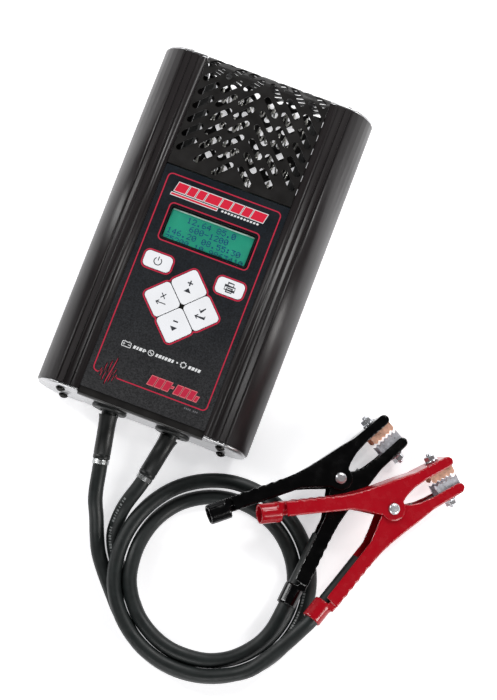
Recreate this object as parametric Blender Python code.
"""Hand-held battery tester lying on its back, with its two clamp leads.

Frame: metres, +Z out of the front panel, +Y towards the vented end, +X to the right of the keypad.
The origin is at the middle of the case's footprint, on the surface that the case lies on.
"""
import math

import bmesh
import bpy
from mathutils import Matrix, Vector
from mathutils.geometry import interpolate_bezier

MM = 0.001
GAP = 0.3 * MM

# ---------------------------------------------------------------- driving dimensions
CASE_WIDTH = 152 * MM
CASE_DEPTH = 58 * MM
RAIL_LENGTH = 243 * MM
RAIL_INNER_X = 45 * MM
SIDE_BULGE = 18 * MM
RAIL_WALL = 2.2 * MM
GROOVE_X = (50.9 * MM, 55.7 * MM, 60.3 * MM)
GROOVE_SIZE = 0.9 * MM
PANEL_SHEET = 1.5 * MM
PANEL_TOP = 55.7 * MM
SLOT_END_X = 48 * MM
END_PLATE = 1.5 * MM
SCREW_X = 57.5 * MM
SCREW_RISE = 15.5 * MM
SCREW_SHAFT = 1.3 * MM
SCREW_HEAD = 3.5 * MM
SCREW_HEAD_HEIGHT = 2.9 * MM

OVERLAY_BOTTOM_Y = -119 * MM
PANEL_TOP_Y = 43 * MM
OVERLAY_Z = (56.0 * MM, 56.6 * MM)
LCD_SIZE = (61 * MM, 23.2 * MM)
LCD_CENTRE_Y = 6 * MM
DIAMOND_CENTRE_Y = -45.3 * MM
DIAMOND_SIDE = 19.2 * MM
DIAMOND_PITCH = 13.97 * MM
PAD_SIZE = (19.5 * MM, 11.3 * MM)
PAD_CENTRE = (26 * MM, -22.1 * MM)
KEY_Z = (56.4 * MM, 57.2 * MM)
KEY_STEM = 3.2 * MM
KEY_STEM_BOTTOM = 53.6 * MM

GRILLE_FRONT_Y = 44.4 * MM
GRILLE_END_Y = 124.4 * MM
GRILLE_HALF_WIDTH = 44.6 * MM
GRILLE_INSET = 0.7 * MM
GRILLE_SHEET = 1.2 * MM
GRILLE_BEND = 7 * MM
SLOT_WIDTH = 4.3 * MM
SLOT_PITCH = 10.3 * MM
SLOT_COLUMN = 14.3 * MM
SLOT_LENGTH = 16.4 * MM
SPINE_HALF = 1.6 * MM

CABLE_RADIUS = 5.0 * MM
SLEEVE_RADIUS = 5.9 * MM
SLEEVE_LENGTH = 35 * MM
GLAND_X = 22.9 * MM
GLAND_RADIUS = 12.3 * MM
GLAND_THICK = 2.8 * MM
RING_CENTRE = Vector((82.2, -205.5, 0)) * MM

# Clamp sizes, in millimetres
FREE_HALF = 9.5
FIXED_HALF = 7.8
ARM_WALL = 1.4
HANDLE_TURN = 22.0
HANDLE_START = (-26.0, 16.5)
WEB_ACROSS = 6.9
EDGE_ACROSS = -3.2
CHANNEL_END = 45.5
BARREL_ALONG = 55.0
BARREL_LENGTH = 15.0
BARREL_RADIUS = 6.9
STRAP_ACROSS = 0.9
LEAD_END_ALONG = 10.0
RIVET_RADIUS = 2.2
JAW_X = (34.5, 52.0)
BOLT_X = 42.0

HALF_WIDTH = CASE_WIDTH / 2
MID_Z = CASE_DEPTH / 2
RAIL_END = RAIL_LENGTH / 2
PLATE_IN = RAIL_END + GAP
PLATE_OUT = PLATE_IN + END_PLATE

# ---------------------------------------------------------------- materials
MATERIALS = {
    "anodised_dark": ((0.030, 0.026, 0.026), 0.38, 1.0),
    "powder_black": ((0.018, 0.017, 0.017), 0.45, 0.0),
    "overlay_navy": ((0.012, 0.016, 0.022), 0.55, 0.0),
    "end_silver": ((0.78, 0.78, 0.78), 0.40, 1.0),
    "key_white": ((0.88, 0.88, 0.90), 0.40, 0.0),
    "clear_window": ((0.75, 0.85, 0.82), 0.05, 0.0),
    "lcd_green": ((0.02, 0.36, 0.24), 0.30, 0.0),
    "board_green": ((0.02, 0.12, 0.05), 0.50, 0.0),
    "dome_steel": ((0.75, 0.75, 0.75), 0.30, 1.0),
    "relay_black": ((0.03, 0.03, 0.03), 0.40, 0.0),
    "coil_wire": ((0.62, 0.60, 0.57), 0.35, 1.0),
    "ceramic": ((0.82, 0.80, 0.74), 0.60, 0.0),
    "screw_black": ((0.020, 0.020, 0.020), 0.30, 1.0),
    "gland_rubber": ((0.022, 0.024, 0.024), 0.55, 0.0),
    "crimp_steel": ((0.55, 0.55, 0.56), 0.25, 1.0),
    "cable_rubber": ((0.018, 0.022, 0.022), 0.60, 0.0),
    "clamp_black": ((0.006, 0.006, 0.006), 0.15, 0.0),
    "clamp_red": ((0.45, 0.008, 0.015), 0.18, 0.0),
    "copper": ((0.80, 0.42, 0.28), 0.32, 1.0),
    "zinc": ((0.58, 0.58, 0.62), 0.38, 1.0),
    "rivet_steel": ((0.70, 0.71, 0.72), 0.22, 1.0),
    "spring_steel": ((0.45, 0.45, 0.46), 0.30, 1.0),
    "wire_black": ((0.02, 0.02, 0.02), 0.50, 0.0),
}


def clear_scene():
    for item in list(bpy.data.objects):
        bpy.data.objects.remove(item)


def material(name):
    found = bpy.data.materials.get(name)
    if found:
        return found
    colour, roughness, metallic = MATERIALS[name]
    made = bpy.data.materials.new(name)
    made.use_nodes = True
    shader = made.node_tree.nodes["Principled BSDF"]
    shader.inputs["Base Color"].default_value = (*colour, 1.0)
    shader.inputs["Roughness"].default_value = roughness
    shader.inputs["Metallic"].default_value = metallic
    return made


# ---------------------------------------------------------------- outlines
def arc(centre, radius, start, end, steps):
    """Points on an arc, angles in degrees; radius may be a pair of half axes."""
    rx, ry = radius if isinstance(radius, tuple) else (radius, radius)
    points = []
    for i in range(steps + 1):
        angle = math.radians(start + (end - start) * i / steps)
        points.append((centre[0] + rx * math.cos(angle), centre[1] + ry * math.sin(angle)))
    return points


def rounded_box(width, height, radius, steps=4):
    x, y = width / 2 - radius, height / 2 - radius
    outline = arc((x, y), radius, 0, 90, steps)
    outline += arc((-x, y), radius, 90, 180, steps)
    outline += arc((-x, -y), radius, 180, 270, steps)
    outline += arc((x, -y), radius, 270, 360, steps)
    return outline


def moved(outline, dx, dy):
    return [(x + dx, y + dy) for x, y in outline]


def turned_by(outline, degrees):
    c, s = math.cos(math.radians(degrees)), math.sin(math.radians(degrees))
    return [(c * x - s * y, s * x + c * y) for x, y in outline]


def mirrored(outline):
    return [(-x, y) for x, y in reversed(outline)]


def scaled(outline, factor):
    return [(x * factor, y * factor) for x, y in outline]


# ---------------------------------------------------------------- solids
def as_xy(u, v, w):
    return (u, v, w)


def as_xz(u, v, w):
    return (u, w, v)


def finish(name, bm, slot, parent=None, location=None, smooth=35):
    bmesh.ops.recalc_face_normals(bm, faces=bm.faces[:])
    mesh = bpy.data.meshes.new(name)
    bm.to_mesh(mesh)
    bm.free()
    obj = bpy.data.objects.new(name, mesh)
    bpy.context.scene.collection.objects.link(obj)
    mesh.materials.append(material(slot))
    mesh.shade_smooth()
    mesh.set_sharp_from_angle(angle=math.radians(smooth))
    obj.parent = parent
    if location:
        obj.location = location
    return obj


def prism(name, outline, low, high, slot, place=as_xy, **options):
    """A straight extrusion of a closed outline."""
    bm = bmesh.new()
    bottom = [bm.verts.new(place(u, v, low)) for u, v in outline]
    top = [bm.verts.new(place(u, v, high)) for u, v in outline]
    bm.faces.new(list(reversed(bottom)))
    bm.faces.new(top)
    count = len(outline)
    for i in range(count):
        j = (i + 1) % count
        bm.faces.new((bottom[i], bottom[j], top[j], top[i]))
    return finish(name, bm, slot, **options)


def box(name, low, high, slot, **options):
    outline = [(low[0], low[1]), (high[0], low[1]), (high[0], high[1]), (low[0], high[1])]
    return prism(name, outline, low[2], high[2], slot, **options)


def rod(name, radius, low, high, slot, centre=(0, 0), place=as_xy, sides=16, **options):
    outline = arc(centre, radius, 0, 360 - 360 / sides, sides - 1)
    return prism(name, outline, low, high, slot, place=place, **options)


def turned(name, profile, slot, matrix=None, sides=20, closed=False, **options):
    """A turned solid about local Z from (radius, height) points; ends on the axis unless closed."""
    bm = bmesh.new()
    rings = []
    for radius, height in profile:
        if radius < 1e-7:
            rings.append([bm.verts.new((0, 0, height))])
            continue
        ring = []
        for i in range(sides):
            angle = 2 * math.pi * i / sides
            ring.append(bm.verts.new((radius * math.cos(angle), radius * math.sin(angle), height)))
        rings.append(ring)
    pairs = list(zip(rings, rings[1:]))
    if closed:
        pairs.append((rings[-1], rings[0]))
    for a, b in pairs:
        for i in range(sides):
            j = (i + 1) % sides
            if len(a) == 1:
                bm.faces.new((a[0], b[i], b[j]))
            elif len(b) == 1:
                bm.faces.new((a[i], b[0], a[j]))
            else:
                bm.faces.new((a[i], b[i], b[j], a[j]))
    if matrix:
        bm.transform(matrix)
    return finish(name, bm, slot, **options)


def combine(target, tools, operation):
    """Apply a Boolean of each tool to the target's mesh and delete the tools."""
    for tool in tools:
        step = target.modifiers.new("combine", "BOOLEAN")
        step.operation = operation
        step.solver = "EXACT"
        step.object = tool
        bpy.context.view_layer.update()
        graph = bpy.context.evaluated_depsgraph_get()
        mesh = bpy.data.meshes.new_from_object(target.evaluated_get(graph))
        target.modifiers.clear()
        target.data = mesh
        bpy.data.objects.remove(tool)
    mesh = target.data
    bm = bmesh.new()
    bm.from_mesh(mesh)
    bmesh.ops.remove_doubles(bm, verts=bm.verts[:], dist=1e-6)
    bmesh.ops.dissolve_limit(bm, angle_limit=math.radians(0.5), verts=bm.verts[:], edges=bm.edges[:])
    bm.to_mesh(mesh)
    bm.free()
    mesh.shade_smooth()
    mesh.set_sharp_from_angle(angle=math.radians(35))
    return target


def cut(target, *tools):
    return combine(target, tools, "DIFFERENCE")


def weld(target, *tools):
    return combine(target, tools, "UNION")


def wire(name, points, radius, slot, resolution=1, parent=None):
    """A round wire or tube along a list of points, with capped ends."""
    data = bpy.data.curves.new(name, "CURVE")
    data.dimensions = "3D"
    data.bevel_depth = radius
    data.bevel_resolution = resolution
    data.use_fill_caps = True
    data.resolution_u = 1
    line = data.splines.new("POLY")
    line.points.add(len(points) - 1)
    for slot_point, point in zip(line.points, points):
        slot_point.co = (*point, 1.0)
    line.use_smooth = True
    obj = bpy.data.objects.new(name, data)
    bpy.context.scene.collection.objects.link(obj)
    data.materials.append(material(slot))
    obj.parent = parent
    return obj


# ---------------------------------------------------------------- extruded side rails
def case_edge(inset, steps=14):
    """The right half of the case's end outline, from its front flat round to its back flat."""
    centre = (HALF_WIDTH - SIDE_BULGE, MID_Z)
    return arc(centre, (SIDE_BULGE - inset, MID_Z - inset), 90, -90, steps)


def front_face(x):
    """Height of the rail's front face at a distance from the middle of the case."""
    beyond = max(0.0, x - (HALF_WIDTH - SIDE_BULGE)) / SIDE_BULGE
    return MID_Z + MID_Z * math.sqrt(1 - beyond ** 2)


def rail_outline():
    lip = PANEL_TOP + GAP
    ledge = PANEL_TOP - PANEL_SHEET - GAP
    outline = [(RAIL_INNER_X, lip), (RAIL_INNER_X, lip + 0.9 * MM), (SLOT_END_X + GAP, lip + 0.9 * MM)]
    outline += [(SLOT_END_X + 0.9 * MM, CASE_DEPTH - 0.2 * MM), (SLOT_END_X + 2 * MM, CASE_DEPTH)]
    for x in GROOVE_X:
        for side, depth in ((-1, 0), (-1, GROOVE_SIZE), (1, GROOVE_SIZE), (1, 0)):
            at = x + side * GROOVE_SIZE / 2
            outline.append((at, front_face(at) - depth))
    outline += [point for point in case_edge(0) if point[0] > GROOVE_X[-1] + GROOVE_SIZE]
    outline += [(HALF_WIDTH - SIDE_BULGE, 0), (SLOT_END_X + 2 * MM, 0)]
    outline += [(SLOT_END_X + 0.9 * MM, 0.2 * MM), (SLOT_END_X + GAP, CASE_DEPTH - lip - 0.9 * MM)]
    outline += [(RAIL_INNER_X, CASE_DEPTH - lip - 0.9 * MM), (RAIL_INNER_X, CASE_DEPTH - lip)]
    outline += [(SLOT_END_X, CASE_DEPTH - lip), (SLOT_END_X, CASE_DEPTH - ledge)]
    outline += [(RAIL_INNER_X, CASE_DEPTH - ledge), (RAIL_INNER_X, CASE_DEPTH - ledge + 1.7 * MM)]
    outline += [(SLOT_END_X + 2 * MM, CASE_DEPTH - ledge + 1.7 * MM), (SLOT_END_X + 2 * MM, RAIL_WALL)]
    outline += list(reversed(case_edge(RAIL_WALL)))
    outline += [(SLOT_END_X + 2 * MM, CASE_DEPTH - RAIL_WALL), (SLOT_END_X + 2 * MM, ledge - 1.7 * MM)]
    outline += [(RAIL_INNER_X, ledge - 1.7 * MM), (RAIL_INNER_X, ledge), (SLOT_END_X, ledge)]
    outline += [(SLOT_END_X, lip)]
    return outline


def side_rail(name, side):
    outline = rail_outline()
    if side < 0:
        outline = mirrored(outline)
    rail = prism(name, outline, -RAIL_END, RAIL_END, "anodised_dark", place=as_xz)
    boss_radius = 3.4 * MM
    for rise in (-SCREW_RISE, SCREW_RISE):
        centre = (side * SCREW_X, MID_Z + rise)
        boss = rod("boss", boss_radius, -RAIL_END, RAIL_END, "anodised_dark", centre, as_xz, 12)
        wall = MID_Z + math.copysign(MID_Z - RAIL_WALL / 2, rise)
        rib_low, rib_high = sorted((centre[1], wall))
        rib = box("rib", (centre[0] - 0.9 * MM, -RAIL_END, rib_low),
                  (centre[0] + 0.9 * MM, RAIL_END, rib_high), "anodised_dark")
        weld(rail, boss, rib)
    for rise in (-SCREW_RISE, SCREW_RISE):
        centre = (side * SCREW_X, MID_Z + rise)
        cut(rail, rod("bore", SCREW_SHAFT + GAP, -HALF_WIDTH * 2, HALF_WIDTH * 2, "anodised_dark",
                      centre, as_xz, 12))
    return rail


# ---------------------------------------------------------------- sheet panels and end plates
def diamond_centres():
    reach = DIAMOND_PITCH
    return {
        "key_up": (0.0, DIAMOND_CENTRE_Y + reach),
        "key_down": (0.0, DIAMOND_CENTRE_Y - reach),
        "key_no": (-reach, DIAMOND_CENTRE_Y),
        "key_yes": (reach, DIAMOND_CENTRE_Y),
    }


def pad_centres():
    return {"key_power": (-PAD_CENTRE[0], PAD_CENTRE[1]), "key_print": PAD_CENTRE}


def diamond_outline(margin=0.0):
    side = DIAMOND_SIDE + 2 * margin
    return turned_by(rounded_box(side, side, 2.8 * MM + margin), 45)


def pad_outline(margin=0.0):
    return rounded_box(PAD_SIZE[0] + 2 * margin, PAD_SIZE[1] + 2 * margin, 3.2 * MM + margin)


def front_panel():
    """Folded sheet: the flat that carries the keypad, and the lip over the lower end plate."""
    top, low = PANEL_TOP, PANEL_TOP - PANEL_SHEET
    lip_out = PLATE_OUT + GAP + 1.2 * MM
    lip_in = PLATE_OUT + GAP
    bend = 1.6 * MM
    side_view = [(PANEL_TOP_Y, low), (PANEL_TOP_Y, top)]
    side_view += arc((-lip_out + bend, top - bend), bend, 90, 180, 4)
    side_view += [(-lip_out, top - 5.4 * MM), (-lip_in, top - 5.4 * MM), (-lip_in, low)]
    flat_half = RAIL_INNER_X - GAP

    def across(u, v, w):
        return (w, u, v)

    panel = prism("front_panel", side_view, -flat_half, flat_half, "powder_black", place=across)
    edge = SLOT_END_X - 2 * GAP
    tongue = box("tongue", (-edge, -RAIL_END + 1 * MM, low), (edge, PANEL_TOP_Y, top), "powder_black")
    weld(panel, tongue)
    openings = [prism("opening", moved(rounded_box(LCD_SIZE[0] - 2 * MM, LCD_SIZE[1] - 2 * MM, 1 * MM, 2),
                                       0, LCD_CENTRE_Y), 0, CASE_DEPTH, "powder_black")]
    for x, y in list(diamond_centres().values()) + list(pad_centres().values()):
        openings.append(rod("opening", KEY_STEM + 0.6 * MM, 0, CASE_DEPTH, "powder_black", (x, y)))
    return cut(panel, *openings)


def membrane_overlay():
    low, high = OVERLAY_Z
    half = RAIL_INNER_X - GAP
    top_y = PANEL_TOP_Y + 0.7 * MM
    outline = moved(rounded_box(2 * half, top_y - OVERLAY_BOTTOM_Y, 0.8 * MM, 2),
                    0, (top_y + OVERLAY_BOTTOM_Y) / 2)
    overlay = prism("membrane_overlay", outline, low, high, "overlay_navy")
    window = moved(rounded_box(*LCD_SIZE, 1.6 * MM), 0, LCD_CENTRE_Y)
    tools = [prism("opening", window, 0, CASE_DEPTH, "overlay_navy")]
    clearance = 0.3 * MM
    for x, y in pad_centres().values():
        tools.append(prism("opening", moved(pad_outline(clearance), x, y), 0, CASE_DEPTH, "overlay_navy"))
    for x, y in diamond_centres().values():
        tools.append(prism("opening", moved(diamond_outline(clearance), x, y), 0, CASE_DEPTH,
                           "overlay_navy"))
    tools.append(rod("opening", 3 * MM, 0, CASE_DEPTH, "overlay_navy", (0, DIAMOND_CENTRE_Y)))
    return cut(overlay, *tools)


def key(name, outline, centre):
    low, high = KEY_Z
    cap = prism(name, outline, low - high, 0, "key_white", location=(*centre, high))
    crown = 0.25 * MM
    bm = bmesh.new()
    bm.from_mesh(cap.data)
    rim = [e for e in bm.edges if all(v.co.z > -1e-6 for v in e.verts)]
    bmesh.ops.bevel(bm, geom=rim, offset=crown, segments=1, affect="EDGES")
    bm.to_mesh(cap.data)
    bm.free()
    stem = rod("stem", KEY_STEM, KEY_STEM_BOTTOM - high, low - high + 0.2 * MM, "key_white",
               location=(*centre, high))
    return weld(cap, stem)


def keypad():
    for name, centre in diamond_centres().items():
        key(name, diamond_outline(), centre)
    for name, centre in pad_centres().items():
        key(name, pad_outline(), centre)
    half = 37 * MM
    low_y, high_y = DIAMOND_CENTRE_Y - 22 * MM, PAD_CENTRE[1] + 8.2 * MM
    board_top = 52.0 * MM
    box("keypad_board", (-half, low_y, board_top - 1.6 * MM), (half, high_y, board_top), "board_green")
    sheet_top = board_top + GAP + 0.3 * MM
    sheet = box("dome_sheet", (-half + 1 * MM, low_y + 1 * MM, board_top + GAP),
                (half - 1 * MM, high_y - 1 * MM, sheet_top), "dome_steel")
    dome_height = 0.35 * MM
    for x, y in list(diamond_centres().values()) + list(pad_centres().values()):
        profile = [(0, -0.2 * MM), (4 * MM, -0.2 * MM), (4 * MM, 0), (2.4 * MM, dome_height * 0.8),
                   (0, dome_height)]
        weld(sheet, turned("dome", profile, "dome_steel", Matrix.Translation((x, y, sheet_top))))


def back_panel():
    edge = SLOT_END_X - 2 * GAP
    top = CASE_DEPTH - PANEL_TOP + PANEL_SHEET
    return box("back_panel", (-edge, -RAIL_END + 1 * MM, top - PANEL_SHEET), (edge, PANEL_TOP_Y, top),
               "powder_black")


def end_outline(inset, middle_inset):
    """Outline of an end plate: it follows the rails and steps in behind the sheet panels."""
    right = [(RAIL_INNER_X + GAP, CASE_DEPTH - middle_inset), (RAIL_INNER_X + GAP, CASE_DEPTH - inset)]
    right += case_edge(inset)
    right += [(RAIL_INNER_X + GAP, inset), (RAIL_INNER_X + GAP, middle_inset)]
    return right + mirrored(right)


def bottom_end_plate():
    plate = prism("bottom_end_plate", end_outline(1.2 * MM, 4.2 * MM), -PLATE_OUT, -PLATE_IN,
                  "end_silver", place=as_xz)
    holes = []
    for side in (-1, 1):
        holes.append(rod("hole", 8.4 * MM, -HALF_WIDTH * 2, HALF_WIDTH * 2, "end_silver",
                         (side * GLAND_X, MID_Z), as_xz, 20))
        for rise in (-SCREW_RISE, SCREW_RISE):
            holes.append(rod("hole", SCREW_SHAFT + GAP, -HALF_WIDTH * 2, HALF_WIDTH * 2, "end_silver",
                             (side * SCREW_X, MID_Z + rise), as_xz, 12))
    return cut(plate, *holes)


def top_end_caps():
    inset = 1.2 * MM
    outline = [(RAIL_INNER_X + GAP, CASE_DEPTH - inset)] + case_edge(inset)
    outline += [(RAIL_INNER_X + GAP, inset)]
    for name, side in (("top_left_end_cap", -1), ("top_right_end_cap", 1)):
        shape = outline if side > 0 else mirrored(outline)
        cap = prism(name, shape, PLATE_IN, PLATE_OUT, "powder_black", place=as_xz)
        for rise in (-SCREW_RISE, SCREW_RISE):
            cut(cap, rod("hole", SCREW_SHAFT + GAP, 0, HALF_WIDTH * 2, "powder_black",
                         (side * SCREW_X, MID_Z + rise), as_xz, 12))


def end_screws():
    """Eight pan-head screws that hold the end pieces to the bosses in the rails."""
    r, h = SCREW_HEAD, SCREW_HEAD_HEIGHT
    profile = [(0, -10 * MM), (SCREW_SHAFT, -10 * MM), (SCREW_SHAFT, 0), (r, 0), (r, 0.35 * h),
               (0.86 * r, 0.72 * h), (0.5 * r, 0.95 * h), (0, h)]
    for end_name, end in (("bottom", -1), ("top", 1)):
        for side_name, side in (("left", -1), ("right", 1)):
            for face_name, rise in (("back", -SCREW_RISE), ("front", SCREW_RISE)):
                name = f"{end_name}_{side_name}_{face_name}_screw"
                turn = Matrix.Rotation(math.radians(-90 * end), 4, "X")
                place = Matrix.Translation((side * SCREW_X, end * (PLATE_OUT + GAP), MID_Z + rise))
                screw = turned(name, profile, "screw_black", sides=14)
                screw.matrix_world = place @ turn


# ---------------------------------------------------------------- vent grille
def grille_path():
    """Corner arcs of the grille's outer face, as (length, y, z, normal y, normal z) stations."""
    top = CASE_DEPTH - GRILLE_INSET
    end = GRILLE_END_Y
    bend = GRILLE_BEND
    steps = 5
    stations = [(GRILLE_FRONT_Y, top, 0.0, 1.0)]
    for centre_z, start in ((top - bend, 90), (GRILLE_INSET + bend, 0)):
        for y, z in arc((end - bend, centre_z), bend, start, start - 90, steps):
            stations.append((y, z, (y - end + bend) / bend, (z - centre_z) / bend))
    stations.append((GRILLE_FRONT_Y, GRILLE_INSET, 0.0, -1.0))
    path, run = [], 0.0
    for i, station in enumerate(stations):
        if i:
            run += math.dist(station[:2], stations[i - 1][:2])
        path.append((run, *station))
    return path


def slot_outline(direction):
    radius = SLOT_WIDTH / 2
    half = SLOT_LENGTH / 2 - radius
    shape = arc((half, 0), radius, -90, 90, 4) + arc((-half, 0), radius, 90, 270, 4)
    return turned_by(shape, 45 * direction)


def vent_grille():
    """One slotted sheet, cut flat and then folded round the vented end."""
    path = grille_path()
    total = path[-1][0]
    bm = bmesh.new()
    rows = []
    for run, *_ in path:
        rows.append([bm.verts.new((x, run, z)) for x, z in (
            (-GRILLE_HALF_WIDTH, 0), (GRILLE_HALF_WIDTH, 0),
            (GRILLE_HALF_WIDTH, GRILLE_SHEET), (-GRILLE_HALF_WIDTH, GRILLE_SHEET))])
    for a, b in zip(rows, rows[1:]):
        for i in range(4):
            j = (i + 1) % 4
            bm.faces.new((a[i], a[j], b[j], b[i]))
    bm.faces.new(rows[0])
    bm.faces.new(list(reversed(rows[-1])))
    grille = finish("vent_grille", bm, "powder_black")

    slots = bmesh.new()
    reach = (SLOT_LENGTH - SLOT_WIDTH) / 2 * math.cos(math.radians(45)) + SLOT_WIDTH / 2
    first = SPINE_HALF + reach
    margin = reach + 2.2 * MM
    for side in (-1, 1):
        outline = slot_outline(-side)
        for column in range(3):
            x = first + column * SLOT_COLUMN
            start = margin - (column * (SLOT_PITCH - SLOT_COLUMN)) % SLOT_PITCH
            run = start if start >= margin else start + SLOT_PITCH
            while run <= total - margin:
                low = [slots.verts.new((side * x + u, run + v, -GRILLE_SHEET)) for u, v in outline]
                high = [slots.verts.new((v.co.x, v.co.y, 2 * GRILLE_SHEET)) for v in low]
                slots.faces.new(list(reversed(low)))
                slots.faces.new(high)
                for i in range(len(low)):
                    j = (i + 1) % len(low)
                    slots.faces.new((low[i], low[j], high[j], high[i]))
                run += SLOT_PITCH
    cutter = finish("slots", slots, "powder_black")
    step = grille.modifiers.new("slots", "BOOLEAN")
    step.operation = "DIFFERENCE"
    step.solver = "EXACT"
    step.object = cutter
    bpy.context.view_layer.update()
    graph = bpy.context.evaluated_depsgraph_get()
    mesh = bpy.data.meshes.new_from_object(grille.evaluated_get(graph))
    grille.modifiers.clear()
    grille.data = mesh
    bpy.data.objects.remove(cutter)
    fold(mesh, path)
    mesh.shade_smooth()
    mesh.set_sharp_from_angle(angle=math.radians(40))
    return grille


def fold(mesh, path):
    """Carry a flat sheet's points onto the folded path; local Z is depth below the outer face."""
    for vertex in mesh.vertices:
        x, run, depth = vertex.co
        index = 0
        while index < len(path) - 2 and run > path[index + 1][0]:
            index += 1
        a, b = path[index], path[index + 1]
        t = min(1.0, max(0.0, (run - a[0]) / (b[0] - a[0])))
        y, z, ny, nz = (a[k] + (b[k] - a[k]) * t for k in range(1, 5))
        vertex.co = (x, y - ny * depth, z - nz * depth)
    bm = bmesh.new()
    bm.from_mesh(mesh)
    bmesh.ops.triangulate(bm, faces=[f for f in bm.faces if len(f.verts) > 4])
    bmesh.ops.recalc_face_normals(bm, faces=bm.faces[:])
    bm.to_mesh(mesh)
    bm.free()


# ---------------------------------------------------------------- inside the case
def display():
    window = moved(rounded_box(LCD_SIZE[0] - 2 * GAP, LCD_SIZE[1] - 2 * GAP, 1.4 * MM), 0, LCD_CENTRE_Y)
    prism("lcd_window", window, OVERLAY_Z[0], OVERLAY_Z[1] + 0.2 * MM, "clear_window")
    half_x, half_y = 40 * MM, 17 * MM
    top = PANEL_TOP - PANEL_SHEET - GAP
    module = box("lcd_module", (-half_x, LCD_CENTRE_Y - half_y, top - 1.6 * MM - 5 * MM),
                 (half_x, LCD_CENTRE_Y + half_y, top - 5 * MM), "lcd_green")
    bezel = box("bezel", (-half_x + 2 * MM, LCD_CENTRE_Y - half_y + 2 * MM, top - 5.5 * MM),
                (half_x - 2 * MM, LCD_CENTRE_Y + half_y - 2 * MM, top), "lcd_green")
    weld(module, bezel)


def electronics():
    board_z = 18 * MM
    board = box("main_board", (-41 * MM, -112 * MM, board_z), (41 * MM, 38 * MM, board_z + 1.6 * MM),
                "board_green")
    top = board_z + 1.6 * MM
    parts = (
        ((-33, -60, -20, -30), 9), ((8, -70, 30, -52), 12), ((-30, 2, -10, 20), 7), ((20, -10, 32, 12), 14))
    for index, ((x0, y0, x1, y1), height) in enumerate(parts):
        block = box(f"block_{index}", (x0 * MM, y0 * MM, top - 0.4 * MM), (x1 * MM, y1 * MM, top + height * MM),
                    "board_green")
        weld(board, block)
    box("load_relay", (-14 * MM, -104 * MM, top + GAP), (14 * MM, -78 * MM, top + 20 * MM), "relay_black")
    bulkhead = box("bulkhead", (-44 * MM, PANEL_TOP_Y + 1.6 * MM, 4.2 * MM),
                   (44 * MM, PANEL_TOP_Y + 2.8 * MM, 53.8 * MM), "end_silver")
    holes = [rod("hole", 4 * MM, 0, HALF_WIDTH, "end_silver", (side * 30 * MM, MID_Z), as_xz)
             for side in (-1, 1)]
    cut(bulkhead, *holes)


def load_coils():
    """Two wound resistance coils, each out and back between two ceramic bars behind the grille."""
    radius, wire_radius = 4.6 * MM, 0.6 * MM
    turns, per_turn = 14, 6
    half = 33 * MM
    for name, middle in (("lower_load_coil", 65 * MM), ("upper_load_coil", 99 * MM)):
        points = []
        for direction, y in ((1, middle - 8.5 * MM), (-1, middle + 8.5 * MM)):
            for i in range(turns * per_turn + 1):
                angle = math.pi / 2 + 2 * math.pi * i / per_turn * direction
                x = direction * (2 * half * i / (turns * per_turn) - half)
                points.append((x, y + radius * math.cos(angle), MID_Z + radius * math.sin(angle)))
        wire(name, points, wire_radius, "coil_wire", resolution=0)
    for name, side in (("left_coil_support", -1), ("right_coil_support", 1)):
        low, high = sorted((side * 36 * MM, side * 41 * MM))
        box(name, (low, PANEL_TOP_Y + 3.2 * MM, MID_Z - 9 * MM), (high, 114 * MM, MID_Z + 9 * MM), "ceramic")


# ---------------------------------------------------------------- clamps
class Frame:
    """A clamp's own frame: local X to the jaws, local Y to the free handle, local Z along the rivet."""

    def __init__(self, face, yaw, pitch, roll):
        """The clamp lies with the rivet's upper end at face, turned, nose down and tipped over."""
        turn = Matrix.Rotation(math.radians(yaw), 4, "Z")
        turn = turn @ Matrix.Rotation(math.radians(pitch), 4, "Y")
        turn = turn @ Matrix.Rotation(math.radians(roll), 4, "X")
        up = turn.to_3x3() @ Vector((0, 0, FREE_HALF))
        self.matrix = Matrix.Translation((Vector(face) - up) * MM) @ turn

    def at(self, x, y, z=0.0):
        return self.matrix @ (Vector((x, y, z)) * MM)


BLACK = Frame((140.4, -112.7, 26.6), 63.0, 7.5, 9.0)
RED = Frame((181.3, -120.5, 34.6), 51.0, 13.0, 15.5)


def handle_point(along, across):
    """A point beside the handle's centre line, measured back from the bend behind the pivot."""
    c, s = math.cos(math.radians(HANDLE_TURN)), math.sin(math.radians(HANDLE_TURN))
    x, y = HANDLE_START
    return (x - c * along + s * across, y + s * along + c * across)


def arm_outline():
    """Side view of one arm in millimetres, on the +Y side of the clamp: handle, boss and jaw bar."""
    outer = [(26.0, 14.2), (14.0, 16.4), (0.0, 18.4), (-12.0, 20.4), (-21.0, 22.6)]
    waves, wave = 5, 6.4
    for i in range(waves * 4 + 1):
        along = 8.0 + wave * i / 4
        outer.append(handle_point(along, WEB_ACROSS + 0.4 * math.sin(math.pi * i / 2)))
    outer.append(handle_point(CHANNEL_END, WEB_ACROSS))
    inner = [handle_point(CHANNEL_END, EDGE_ACROSS), handle_point(6.0, EDGE_ACROSS)]
    inner += [(-25.0, 12.6), (-17.0, 6.4)]
    boss = arc((0, 0), 8.6, 184, 366, 12)
    jaw = [(12.5, 3.2), (20.0, 5.4), (30.0, 6.4)]
    tip = arc((49.9, 10.0), 3.6, -90, 90, 6)
    return outer + inner + boss + jaw + tip


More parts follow.
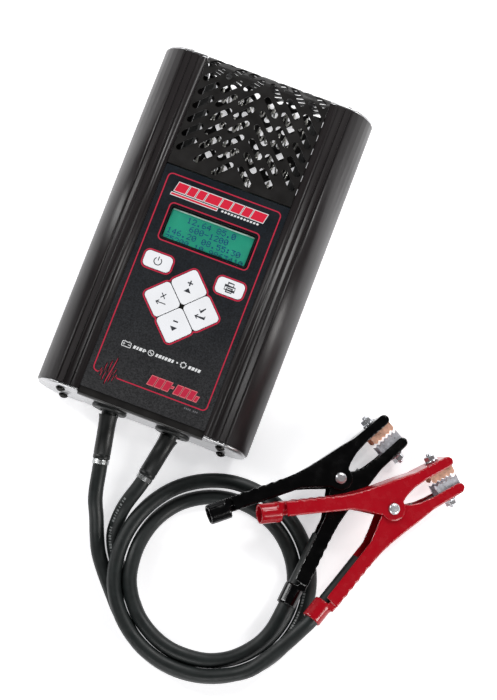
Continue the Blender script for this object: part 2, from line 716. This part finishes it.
def hollow_outline():
    """The space inside the arm: the side view moved in from the web and run out past the open edge."""
    web = [(60.0, 13.6 - ARM_WALL), (46.0, 13.6 - ARM_WALL), (26.0, 14.2 - ARM_WALL)]
    web += [(14.0, 16.4 - ARM_WALL), (0.0, 18.4 - ARM_WALL), (-12.0, 20.4 - ARM_WALL)]
    web += [(-21.5, 22.6 - ARM_WALL), handle_point(8.0, WEB_ACROSS - ARM_WALL)]
    web.append(handle_point(60.0, WEB_ACROSS - ARM_WALL))
    far = [handle_point(60.0, -12.0), (-30.0, -20.0), (40.0, -20.0), (60.0, 0.0)]
    return web + far


def arm(name, slot, parent, half, flip):
    """A channel-section arm with a rolled barrel at the end of its handle."""
    side = -1 if flip else 1

    def place(outline):
        points = [(x * MM, side * y * MM) for x, y in outline]
        return points if side > 0 else list(reversed(points))

    body = prism(name, place(arm_outline()), -half * MM, half * MM, slot)
    body.parent = parent
    inner_half = (half - ARM_WALL) * MM
    hollow = prism("hollow", place(hollow_outline()), -inner_half, inner_half, slot, parent=parent)
    cut(body, hollow)

    back = math.radians(180 - HANDLE_TURN)
    axis = Vector((math.cos(back), side * math.sin(back), 0))
    centre = handle_point(BARREL_ALONG, 0)
    middle = Vector((centre[0], side * centre[1], 0)) * MM
    turn = Matrix.Translation(middle) @ axis.to_track_quat("Z", "X").to_matrix().to_4x4()
    inner_radius = (CABLE_RADIUS + 0.45 * MM)
    reach = BARREL_LENGTH / 2 * MM
    ring = [(inner_radius, -reach), (BARREL_RADIUS * MM, -reach), (BARREL_RADIUS * MM, reach),
            (inner_radius, reach)]
    barrel = turned("barrel", ring, slot, turn, sides=18, closed=True, parent=parent)
    strap_half = BARREL_RADIUS - 0.2
    corners = ((43.0, WEB_ACROSS), (50.0, WEB_ACROSS), (50.0, STRAP_ACROSS), (43.0, STRAP_ACROSS))
    strip = [handle_point(*corner) for corner in corners]
    strap = prism("strap", place(strip), -strap_half * MM, strap_half * MM, slot, parent=parent)
    clear = inner_radius + GAP
    bore = [(0, -30 * MM), (clear, -30 * MM), (clear, 30 * MM), (0, 30 * MM)]
    cut(strap, turned("bore", bore, slot, turn, sides=16, parent=parent))
    weld(body, strap, barrel)
    hole = rod("hole", (RIVET_RADIUS + 0.35) * MM, -20 * MM, 20 * MM, slot, parent=parent)
    bolt_hole = rod("bolt_hole", 2.0 * MM, side * 11 * MM if side > 0 else -16 * MM,
                    16 * MM if side > 0 else -11 * MM, slot, (BOLT_X * MM, 0), as_xz, 12, parent=parent)
    cut(body, hole, bolt_hole)
    return body


def rivet(name, parent):
    r = RIVET_RADIUS * MM
    base = (FREE_HALF + 0.3) * MM
    head, height = 3.9 * MM, 2.2 * MM
    top = [(r, base), (head, base), (head * 0.93, base + 0.45 * height), (head * 0.62, base + 0.86 * height),
           (0, base + height)]
    profile = [(radius, -z) for radius, z in reversed(top)] + top
    turned(name, profile, "rivet_steel", parent=parent, sides=18)


def torsion_spring(name, parent):
    """Coil round the rivet with one leg along each handle."""
    coil_radius, wire_radius = 4.9 * MM, 0.95 * MM
    turns, per_turn = 3.45, 12
    count = int(turns * per_turn)
    leg = 14 * MM
    points = []
    start = math.radians(125)
    for i in range(count + 1):
        angle = start + 2 * math.pi * i / per_turn
        height = (-0.5 + i / count) * 10.2 * MM
        points.append(Vector((coil_radius * math.cos(angle), coil_radius * math.sin(angle), height)))
    first, last = points[0], points[-1]
    back = Vector((-math.sin(start), math.cos(start), 0))
    end_angle = start + 2 * math.pi * count / per_turn
    onward = Vector((-math.sin(end_angle), math.cos(end_angle), 0))
    points.insert(0, first - back * leg)
    points.append(last + onward * leg)
    wire(name, points, wire_radius, "spring_steel", resolution=1, parent=parent)


def jaw_plate(name, slot, parent, side, half, shift):
    """Channel-shaped contact with two toothed legs, bolted inside the jaw bar."""
    web_y = 13.6 - ARM_WALL - 0.3
    pitch = (JAW_X[1] - JAW_X[0]) / 5
    teeth = []
    for i in range(11):
        tip = (i % 2 == 1) if side > 0 else (i % 2 == 0)
        teeth.append((JAW_X[0] + pitch * i / 2, 0.25 + shift if tip else 1.65 + shift))
    outline = [(JAW_X[1], web_y - 0.6), (JAW_X[1] - 1.2, web_y), (JAW_X[0], web_y)] + teeth
    points = [(x * MM, side * y * MM) for x, y in outline]
    if side < 0:
        points.reverse()
    plate = prism(name, points, -half * MM, half * MM, slot, parent=parent)
    inner = (half - 1.5) * MM
    low, high = sorted((side * -6.0 * MM, side * (web_y - 1.4) * MM))
    trough = box("trough", (-80 * MM, low, -inner), (80 * MM, high, inner), slot, parent=parent)
    cut(plate, trough)
    hole = rod("bolt_hole", 2.0 * MM, -16 * MM, 16 * MM, slot, (BOLT_X * MM, 0), as_xz, 12, parent=parent)
    return cut(plate, hole)


def jaw_bolt(name, parent, side):
    """Hex nut, toothed washer and bolt shank that clamp the contact plate to the jaw bar."""
    outside = 13.75 + 0.3
    turn = Matrix.Rotation(math.radians(-90 * side), 4, "X")
    shank = [(0, 9.0), (1.6, 9.0), (1.6, outside - 0.05)]
    washer = [(4.6, outside - 0.05), (4.6, outside + 0.9), (2.4, outside + 1.0)]
    crown = [(2.4, outside + 5.6), (0, outside + 5.6)]
    profile = [(r * MM, z * MM) for r, z in shank + washer + crown]
    place = Matrix.Translation((BOLT_X * MM, 0, 0)) @ turn
    bolt = turned(name, profile, "zinc", place, sides=12, parent=parent)
    hexagon = arc((BOLT_X * MM, 0), 4.3 * MM, 0, 300, 5)
    low, high = sorted((side * (outside + 0.5) * MM, side * (outside + 4.3) * MM))
    nut = prism("nut", hexagon, low, high, "zinc", place=as_xz, parent=parent)
    return weld(bolt, nut)


def sense_wire(name, parent):
    """Insulated wire from the lead's end past the rivet to the lower contact."""
    start = handle_point(LEAD_END_ALONG - 0.6, 0)
    route = [(start[0], -start[1]), (-26.0, -16.9), (-13.0, -14.4), (0.0, -12.6), (12.0, -10.6),
             (22.0, -8.8), (32.5, -7.6)]
    points = [Vector((x, y, 0)) * MM for x, y in route]
    wire(name, points, 1.3 * MM, "wire_black", resolution=1, parent=parent)


def clamp(colour, frame, slot):
    holder = bpy.data.objects.new(f"{colour}_clamp_pivot", None)
    bpy.context.scene.collection.objects.link(holder)
    holder.matrix_world = frame.matrix
    bpy.context.view_layer.update()
    arm(f"{colour}_free_arm", slot, holder, FREE_HALF, False)
    arm(f"{colour}_cable_arm", slot, holder, FIXED_HALF, True)
    rivet(f"{colour}_pivot_rivet", holder)
    torsion_spring(f"{colour}_spring", holder)
    jaw_plate(f"{colour}_copper_jaw", "copper", holder, 1, 6.4, 0.3)
    jaw_plate(f"{colour}_zinc_jaw", "zinc", holder, -1, 6.0, 0.3)
    jaw_bolt(f"{colour}_free_jaw_bolt", holder, 1)
    jaw_bolt(f"{colour}_cable_jaw_bolt", holder, -1)
    sense_wire(f"{colour}_sense_wire", holder)


# ---------------------------------------------------------------- leads
def on_ring(degrees, radius, height):
    angle = math.radians(degrees)
    offset = Vector((radius * math.cos(angle), radius * math.sin(angle), height)) * MM
    return RING_CENTRE + offset


def handle_place(frame, along):
    """A point on the centre line of a clamp's cable handle."""
    x, y = handle_point(along, 0)
    return frame.at(x, -y)


def smooth(points, steps):
    """A smooth curve through the points, with evenly shared steps between neighbours."""
    result = []
    for i in range(len(points) - 1):
        before = points[max(i - 1, 0)]
        a, b = points[i], points[i + 1]
        after = points[min(i + 2, len(points) - 1)]
        span = (b - a).length
        tangent_a = (b - before).normalized() * span / 3 if i else (b - a) / 3
        tangent_b = (after - a).normalized() * span / 3 if i + 2 < len(points) else (b - a) / 3
        count = max(1, round(span / steps))
        run = interpolate_bezier(a, a + tangent_a, b - tangent_b, b, count + 1)
        result += [Vector(p) for p in run[:-1]]
    result.append(points[-1])
    return result


def gland_axis(side):
    """Direction in which a lead leaves the case: outwards, a little down and towards its neighbour."""
    return Vector((-side * 0.19, -0.97, -0.13)).normalized()


def gland_point(side):
    return Vector((side * GLAND_X, -PLATE_OUT - GAP, MID_Z))


def lead_route(side, frame, middle):
    """Route of one lead from inside the case to inside the handle of its clamp."""
    start, axis = gland_point(side), gland_axis(side)
    head = [start + axis * d * MM for d in (-7, 18, 41)]
    tail = [handle_place(frame, along) for along in (66, 48, 28, LEAD_END_ALONG)]
    return head + middle + tail


def leads():
    left_middle = [Vector(p) * MM for p in (
        (-11.1, -182.6, 19.2), (-6.0, -194.6, 13.2), (-1.4, -206.2, 7.9), (3.5, -216.2, 5.4))]
    left_middle += [on_ring(a, r, z) for a, r, z in (
        (196.5, 73.9, 5.2), (208, 68.9, 5.2), (222, 66.4, 5.2), (245, 66.3, 5.2), (270, 66.3, 5.2),
        (295, 66.3, 5.2), (320, 66.3, 5.2), (345, 66.3, 5.2), (370, 66.3, 5.2), (395, 66.4, 5.4),
        (418, 66.6, 7.0), (440, 66.6, 10.4), (464, 66.4, 14.0), (490, 65.8, 16.2), (515, 65.2, 16.6),
        (540, 65.4, 16.3), (565, 66.3, 15.7), (590, 66.3, 15.7), (615, 66.3, 15.7), (640, 66.4, 16.4),
        (660, 66.8, 19.6), (676, 67.6, 24.0))]
    right_middle = [Vector(p) * MM for p in ((9.9, -180.0, 19.2), (8.2, -191.5, 13.0), (9.0, -202.0, 7.9))]
    right_middle += [on_ring(a, r, z) for a, r, z in (
        (188, 67.2, 5.4), (200, 60.6, 5.2), (214, 56.2, 5.2), (232, 55.8, 5.2), (257, 55.8, 5.2),
        (283, 55.8, 5.2), (309, 55.8, 5.2), (335, 55.8, 5.2), (361, 55.8, 5.2), (387, 55.8, 5.2),
        (413, 55.8, 5.2), (439, 55.6, 5.2), (465, 55.8, 5.2), (488, 56.0, 5.6), (508, 55.6, 8.4),
        (527, 54.8, 12.6), (546, 54.8, 15.4), (566, 55.8, 15.7), (590, 55.8, 15.7), (616, 55.8, 15.7),
        (642, 55.8, 15.7), (662, 55.8, 16.0), (682, 55.0, 17.6), (698, 54.2, 20.0))]
    step = 1.4 * 2 * CABLE_RADIUS
    for name, side, frame, middle in (("red_lead", -1, RED, left_middle),
                                      ("black_lead", 1, BLACK, right_middle)):
        route = smooth(lead_route(side, frame, middle), step)
        wire(name, route, CABLE_RADIUS, "cable_rubber", resolution=3)


def strain_reliefs():
    bore = CABLE_RADIUS + GAP
    for word, side in (("left", -1), ("right", 1)):
        start, axis = gland_point(side), gland_axis(side)
        turn = Matrix.Translation(start) @ axis.to_track_quat("Z", "Y").to_matrix().to_4x4()
        flange = rod(f"{word}_gland_flange", GLAND_RADIUS, -GLAND_THICK, 0, "gland_rubber", sides=28)
        flange.matrix_world = Matrix.Translation(start) @ Matrix.Rotation(math.radians(-90), 4, "X")
        bm = bmesh.new()
        bm.from_mesh(flange.data)
        rim = [e for e in bm.edges if all(v.co.z < -GLAND_THICK + 1e-6 for v in e.verts)]
        bmesh.ops.bevel(bm, geom=rim, offset=0.9 * MM, segments=2, affect="EDGES")
        bm.to_mesh(flange.data)
        bm.free()
        bpy.context.view_layer.update()
        drill = rod("bore", bore + 1.2 * MM, -20 * MM, 20 * MM, "gland_rubber")
        drill.matrix_world = turn
        cut(flange, drill)
        tube = [(bore, 4.6 * MM), (SLEEVE_RADIUS, 4.6 * MM), (SLEEVE_RADIUS, SLEEVE_LENGTH),
                (bore, SLEEVE_LENGTH)]
        turned(f"{word}_lead_sleeve", tube, "gland_rubber", turn, sides=20, closed=True)
        ring_start = SLEEVE_LENGTH + GAP
        ring = [(bore, ring_start), (bore + 0.7 * MM, ring_start), (bore + 0.7 * MM, ring_start + 3.2 * MM),
                (bore, ring_start + 3.2 * MM)]
        turned(f"{word}_crimp_ring", ring, "crimp_steel", turn, sides=20, closed=True)


def main():
    clear_scene()
    side_rail("left_side_rail", -1)
    side_rail("right_side_rail", 1)
    front_panel()
    membrane_overlay()
    keypad()
    back_panel()
    bottom_end_plate()
    top_end_caps()
    end_screws()
    vent_grille()
    display()
    electronics()
    load_coils()
    strain_reliefs()
    leads()
    clamp("black", BLACK, "clamp_black")
    clamp("red", RED, "clamp_red")


main()
